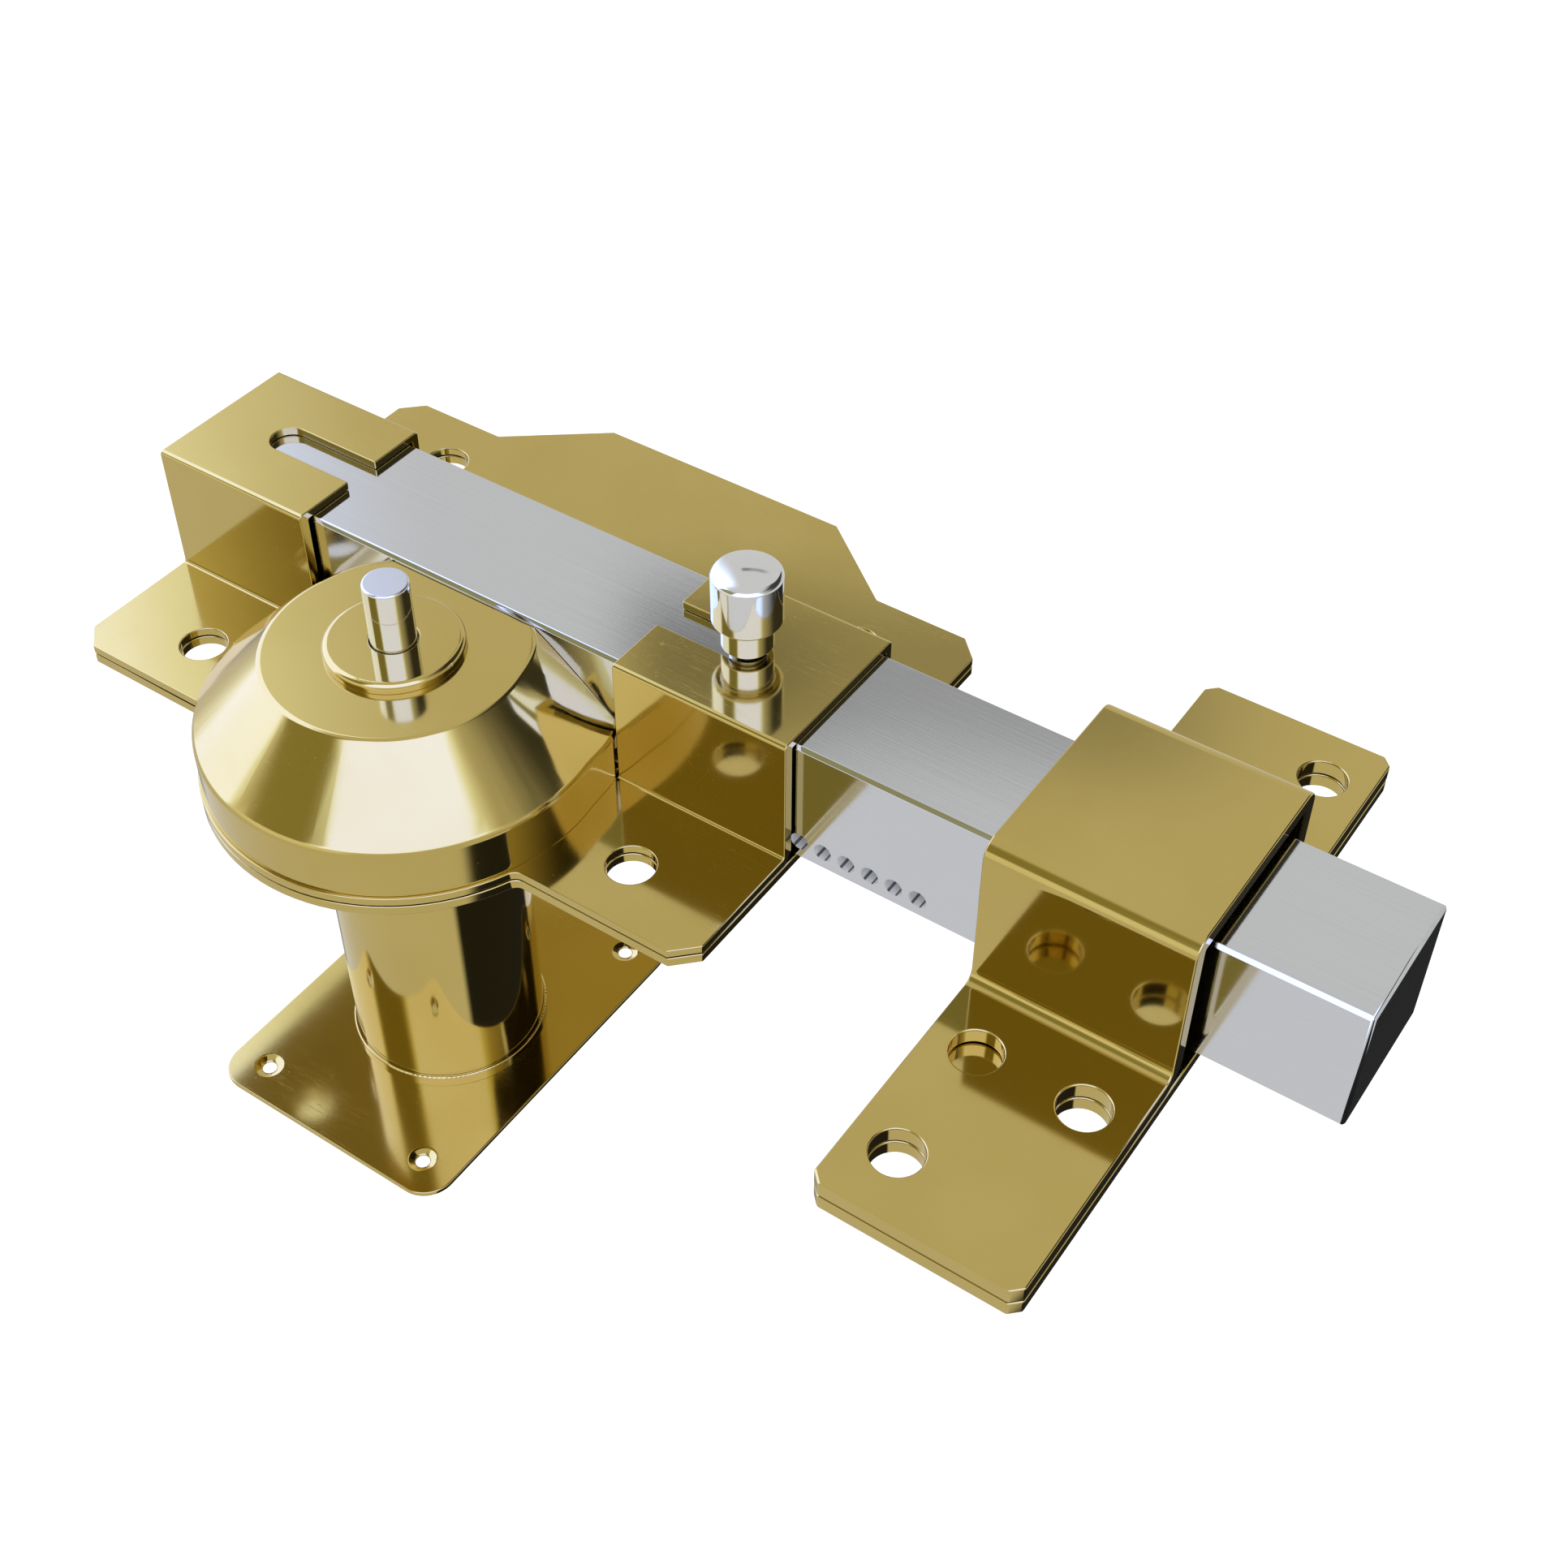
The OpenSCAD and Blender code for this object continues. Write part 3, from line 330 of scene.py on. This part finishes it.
BOLT_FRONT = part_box("bolt_bar")[0][1]
SPINDLE_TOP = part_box("spindle")[1][2]
COVER_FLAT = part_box("dome_cover")[1][1]

# Brushed faces look upward, and faces smaller than this are the walls of the drive holes
UPWARD = 0.7
BORE_FACE = 4.0 * MM * MM
FRONTWARD = 0.95

# The spindle's end face, and the step that lies under it
END_DEPTH = 0.05 * MM
STUB_LENGTH = 5.5 * MM
STEP_REACH = 0.2 * MM
STEP_DROP = 1.1 * STUB_LENGTH

# The dark seam between stacked plates
TOP_REACH = 0.01 * MM
SEAM = 0.26 * MM

# The gap beside the bolt, in the solid and as it looks
WALL_REACH = 0.02 * MM
GUIDE_GAP = 1.0 * MM
GUIDE_GAP_SEEN = 0.6 * MM

# The cover's gap to the bolt, the depth of its flat side, and how much wider it gets, from where
COVER_CLEARANCE = 0.07 * MM
COVER_SHEET = 2.6 * MM
COVER_WIDER = 0.05
COVER_WIDER_FROM = 5.0 * MM

# Where the cover's rims lie, and the share of its rounding that each kind of edge gets
RIM_LEVEL = 0.01 * MM
RIM_LOWEST = 8.0 * MM
RIM_RADIUS = 12.0 * MM
RIM_UPPER = 20.0 * MM
CUT_SIDE = 0.3 * MM
LOWER_RIM, UPPER_RIM, PLAIN_EDGE, CUT_EDGE = 1.0, 0.6, 0.25, 0.05


def brushed(face):
    return face.normal.z > UPWARD and face.calc_area() > BORE_FACE


def bored(face):
    return abs(face.normal.y) < FRONTWARD and face.calc_area() < BORE_FACE


def spindle_end(face):
    return face.calc_center_median().z > SPINDLE_TOP - END_DEPTH


def open_seam(bm):
    """Lowers a plate's top by a hair, so that a dark line shows where the next plate lies on it."""
    top = max(v.co.z for v in bm.verts)
    for v in bm.verts:
        if v.co.z > top - TOP_REACH:
            v.co.z -= SEAM


def plain_shaft(bm):
    """Lowers the step where the spindle's thin upper part starts into the washer, as no step shows."""
    step = SPINDLE_TOP - STUB_LENGTH
    for v in bm.verts:
        if abs(v.co.z - step) < STEP_REACH:
            v.co.z -= STEP_DROP


def narrow_channel(bm):
    """Thickens the guides' front walls on the inside, so that the bolt's gap is as narrow as it looks."""
    wall = BOLT_FRONT - GUIDE_GAP
    for v in bm.verts:
        if abs(v.co.y - wall) < WALL_REACH:
            v.co.y += GUIDE_GAP - GUIDE_GAP_SEEN


def close_cover(bm):
    """Brings the cover's flat side up to the bolt, and its sides out towards the guides."""
    shift = BOLT_FRONT - COVER_CLEARANCE - COVER_FLAT
    for v in bm.verts:
        if v.co.y > COVER_FLAT - COVER_SHEET:
            radius = math.hypot(v.co.x, v.co.y)
            v.co.y += shift
            v.co.x = math.copysign(math.sqrt(max(radius * radius - v.co.y * v.co.y, 0.0)), v.co.x)
    for v in bm.verts:
        part = min(max((v.co.y - COVER_WIDER_FROM) / (COVER_FLAT - COVER_WIDER_FROM), 0.0), 1.0)
        v.co.x *= 1.0 + COVER_WIDER * part * part * (3.0 - 2.0 * part)


def cover_rims(edge):
    """The pressed cover's two outer rims are rounder than its other edges, and its cut side is sharper."""
    a, b = (v.co for v in edge.verts)
    level = abs(a.z - b.z) < RIM_LEVEL and a.z > RIM_LOWEST
    outer = edge.is_convex and min(math.hypot(a.x, a.y), math.hypot(b.x, b.y)) > RIM_RADIUS
    if min(a.y, b.y) > COVER_FLAT - CUT_SIDE:
        return CUT_EDGE
    if not level or not outer:
        return PLAIN_EDGE
    return LOWER_RIM if a.z < RIM_UPPER else UPPER_RIM


DRESSED = {
    "base_plate": dict(width=0.20, material="brass_sheet", shape=open_seam),
    "guide_housing": dict(width=0.20, material="brass_scuffed", shape=narrow_channel),
    "dome_cover": dict(width=0.80, material="brass_scuffed", shape=close_cover, segments=4, share=cover_rims),
    "outer_plate": dict(width=0.22, material="brass_scuffed"),
    "strike_plate": dict(width=0.28, material="brass_sheet", shape=open_seam),
    "strike_bridge": dict(width=0.28, material="brass_sheet"),
    "knob": dict(width=0.25, material="knob_chrome"),
    "knob_stud": dict(width=0.10, material="bright_steel"),
    "drive_wheel": dict(width=0.15, material="dark_steel"),
    "cylinder_sleeve": dict(width=0.15, material="brass_turned"),
    "dome_washer": dict(width=0.10, material="brass_turned"),
    "bolt_bar": dict(width=0.09, material="bolt_polished", shortest=3.0,
                     others=(("bolt_steel", brushed), ("bore_steel", bored))),
    "spindle": dict(width=0.06, material="knob_chrome", shape=plain_shaft,
                    others=(("bright_steel", spindle_end),)),
}
for node, values in DRESSED.items():
    dress(node, **values)

for name, obj in frame["nodes"].items():
    if name not in DRESSED:
        obj.data.materials.clear()
        obj.data.materials.append(MAT[slot_of_node[name]])
        for polygon in obj.data.polygons:
            polygon.use_smooth = True
        smooth = obj.modifiers.new("edges", "EDGE_SPLIT")
        smooth.split_angle = math.radians(SMOOTH_ANGLE)


# Stage
FLOOR_Z = -0.25
FLOOR_HALF = 6.0
FLOOR_SHADE = 0.88
FLOOR_LIFT = 0.3


def floor():
    """A plain white floor that keeps the object's shadow and is lifted to white only for the camera."""
    mesh = bpy.data.meshes.new("floor")
    corners = [(FLOOR_HALF * x, FLOOR_HALF * y, FLOOR_Z) for x, y in ((-1, -1), (1, -1), (1, 1), (-1, 1))]
    mesh.from_pydata(corners, [], [(0, 1, 2, 3)])
    obj = bpy.data.objects.new("floor", mesh)
    bpy.context.scene.collection.objects.link(obj)
    material, tree, shader = new_material("floor")
    shader.inputs["Base Color"].default_value = (FLOOR_SHADE, FLOOR_SHADE, FLOOR_SHADE, 1)
    shader.inputs["Roughness"].default_value = 0.9
    shader.inputs["Specular IOR Level"].default_value = 0.0
    shader.inputs["Emission Color"].default_value = (1, 1, 1, 1)
    path = add(tree, "ShaderNodeLightPath")
    lift = math_node(tree, "MULTIPLY", path.outputs["Is Camera Ray"], FLOOR_LIFT)
    tree.links.new(lift, shader.inputs["Emission Strength"])
    mesh.materials.append(material)
    obj.visible_glossy = False


floor()

# Studio, in degrees. A range of turn or rise is its low end, its high end and the softness of each,
# and a pair of values is a fall from 1 to 0.
STUDIO_LEVEL = 0.74
SOFTBOXES = {
    "gap": ((10, 52, 8, 4), (23, 60, 3, 8)),
    "low": ((-10, 52, 6, 6), (-6, 20, 5, 3)),
    "left": ((53, 127, 5, 8), (-6, 60, 8, 6)),
    "front": ((-80, 8, 10, 6), (14, 66, 6, 6)),
}
GLOW = (("gap", (0.35, 0.33, 0.15)), ("low", (0.98, 1.0, 1.02)),
        ("left", (1.55, 1.8, 2.5)), ("front", (1.5, 1.8, 2.5)))
CORE_GLOW = (("left", (1.55, 1.85, 4.1)), ("front", (1.5, 1.82, 5.0)))
BAR_RISE = (39.6, 43.6, 0.8, 1.4)

# Dark screens: turn, rise and how much of the light each takes
SCREENS = (
    ((110, 132.3, 6, 5), (-10, -2), 0.5),
    ((-220, -104, 1, 26), (16, 62, 4, 8), 0.93),
    ((-178, -68, 3, 4), (-36, -30), 0.97),
    ((140.6, 146, 1.3, 4), BAR_RISE, 0.66),
    ((144, 161, 3, 4), BAR_RISE, 0.45),
)


def soft_range(tree, value, ends):
    """1 inside the range, falling to 0 over each end's softness."""
    if len(ends) == 2:
        return remap(tree, value, ends, (1.0, 0.0), True)
    low, high, soft_low, soft_high = ends
    up = remap(tree, value, (low - soft_low, low + soft_low), smooth=True)
    down = remap(tree, value, (high - soft_high, high + soft_high), (1.0, 0.0), True)
    return math_node(tree, "MULTIPLY", up, down)


def studio():
    """Soft studio light: even for the floor, and softboxes and dark screens for what the metal mirrors.

    turn is the angle from the front (-Y), negative towards +X and positive towards -X, and rise the height.
    """
    world = bpy.data.worlds.new("studio")
    bpy.context.scene.world = world
    world.use_nodes = True
    tree = world.node_tree
    background = tree.nodes["Background"]
    coord = add(tree, "ShaderNodeTexCoord")
    split = add(tree, "ShaderNodeSeparateXYZ")
    tree.links.new(coord.outputs["Generated"], split.inputs[0])
    x, y, z = split.outputs
    left, front = (math_node(tree, "MULTIPLY", v, -1.0) for v in (x, y))
    turn = math_node(tree, "MULTIPLY", math_node(tree, "ARCTAN2", left, front), math.degrees(1))
    rise = math_node(tree, "MULTIPLY", math_node(tree, "ARCSINE", z), math.degrees(1))

    def patch(turns, rises):
        return math_node(tree, "MULTIPLY", soft_range(tree, turn, turns), soft_range(tree, rise, rises))

    level = 1.0
    for turns, rises, depth in SCREENS:
        passed = remap(tree, patch(turns, rises), (0.0, 1.0), (1.0, 1.0 - depth))
        level = math_node(tree, "MULTIPLY", passed, level)
    lit = mix_colour(tree, level, (0.0, 0.0, 0.0), (STUDIO_LEVEL, STUDIO_LEVEL, STUDIO_LEVEL))
    boxes = {name: patch(*ranges) for name, ranges in SOFTBOXES.items()}
    for name, colour in GLOW:
        lit = mix_colour(tree, boxes[name], lit, colour)
    for name, colour in CORE_GLOW:
        lit = mix_colour(tree, remap(tree, boxes[name], (0.5, 1.0), smooth=True), lit, colour)

    path = add(tree, "ShaderNodeLightPath")
    seen = mix_colour(tree, path.outputs["Is Glossy Ray"], (1.0, 1.0, 1.0), lit)
    tree.links.new(seen, background.inputs["Color"])
    background.inputs["Strength"].default_value = 1.0


studio()

view = bpy.context.scene.view_settings
view.view_transform = "Standard"
